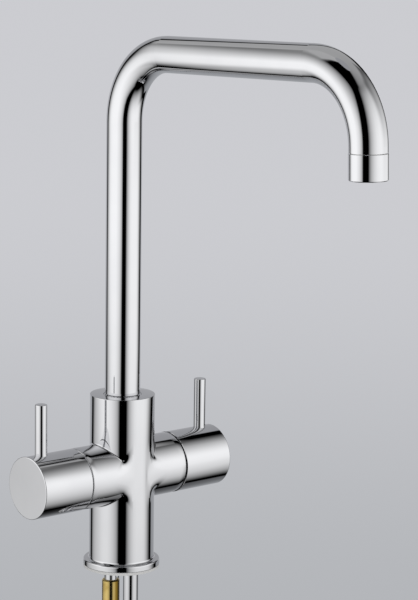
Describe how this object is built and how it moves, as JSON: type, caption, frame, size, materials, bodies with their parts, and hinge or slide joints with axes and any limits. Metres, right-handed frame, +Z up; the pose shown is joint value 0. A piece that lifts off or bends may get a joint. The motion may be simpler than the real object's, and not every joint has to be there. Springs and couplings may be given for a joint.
{
  "type": "three way filtered water tap",
  "caption": "Deck-mounted kitchen tap with a cross-shaped body, quarter-turn side handles for hot, cold and filtered water, and a tall square swivelling spout.",
  "frame": {"origin": "centre of the underside of the base seal, on the tap's vertical axis", "axes": "+Z up along the body; the two handles lie along X, the hot one at -X and the cold and filtered one at +X; the spout points to -Y at rest"},
  "size_m": [0.158, 0.2723, 0.4684],
  "materials": {
    "polished_chrome": "bright chrome plate, mirror smooth, on brass",
    "tail_chrome": "bright plated inlet tails",
    "bare_brass": "turned brass, unplated",
    "inner_brass": "turned brass inside the tap",
    "plated_steel": "pressed steel, zinc plated",
    "screw_steel": "stainless steel",
    "base_rubber": "pale grey elastomer, matt",
    "black_rubber": "black elastomer, matt",
    "ceramic": "white ceramic, lapped flat",
    "slide_plastic": "natural white moulded plastic",
    "seam_plastic": "black moulded plastic",
    "grille_plastic": "grey moulded plastic"
  },
  "bodies": {
    "root": {"tap_body": "polished_chrome", "base_ring": "polished_chrome", "base_seal": "base_rubber", "hot_tail": "tail_chrome", "cold_tail": "tail_chrome", "filter_tail": "tail_chrome", "tail_o_rings": "black_rubber", "fixing_post": "bare_brass", "horseshoe_plate": "plated_steel", "horseshoe_seal": "black_rubber", "fixing_nut": "bare_brass", "thrust_washer": "slide_plastic", "retaining_screw": "screw_steel", "filter_nipple": "inner_brass", "left_valve_housing": "inner_brass", "left_spindle_seal": "black_rubber", "left_seat_seal": "black_rubber", "left_fixed_disc": "ceramic", "left_glide_ring": "seam_plastic", "right_valve_housing": "inner_brass", "right_spindle_seal": "black_rubber", "right_seat_seal": "black_rubber", "right_fixed_disc": "ceramic", "right_glide_ring": "seam_plastic"},
    "spout": {"spout_foot": "polished_chrome", "swivel_rings": "slide_plastic", "spout_o_rings": "black_rubber", "spout_tube": "polished_chrome", "filter_coupling": "slide_plastic", "filter_o_ring": "black_rubber", "filter_tube": "slide_plastic", "outlet_nipple": "screw_steel", "aerator_sleeve": "polished_chrome", "aerator_seal": "black_rubber", "aerator_insert": "grille_plastic", "filter_jet": "grille_plastic"},
    "left_handle": {"left_moving_disc": "ceramic", "left_spindle": "inner_brass", "left_circlip": "screw_steel", "left_barrel": "polished_chrome", "left_lever": "polished_chrome", "left_grub_screw": "screw_steel"},
    "right_handle": {"right_moving_disc": "ceramic", "right_spindle": "inner_brass", "right_circlip": "screw_steel", "right_barrel": "polished_chrome", "right_lever": "polished_chrome", "right_grub_screw": "screw_steel"}
  },
  "joints": [
    {"name": "spout_swivel", "type": "hinge", "parent": "root", "child": "spout", "pos_m": [0, 0, 0.12], "axis": [0, 0, 1], "continuous": true},
    {"name": "left_handle_turn", "type": "hinge", "parent": "root", "child": "left_handle", "pos_m": [-0.0595, 0, 0.0665], "axis": [1, 0, 0], "range_deg": [0, 90]},
    {"name": "right_handle_turn", "type": "hinge", "parent": "root", "child": "right_handle", "pos_m": [0.0595, 0, 0.0665], "axis": [1, 0, 0], "range_deg": [-90, 90]}
  ]
}
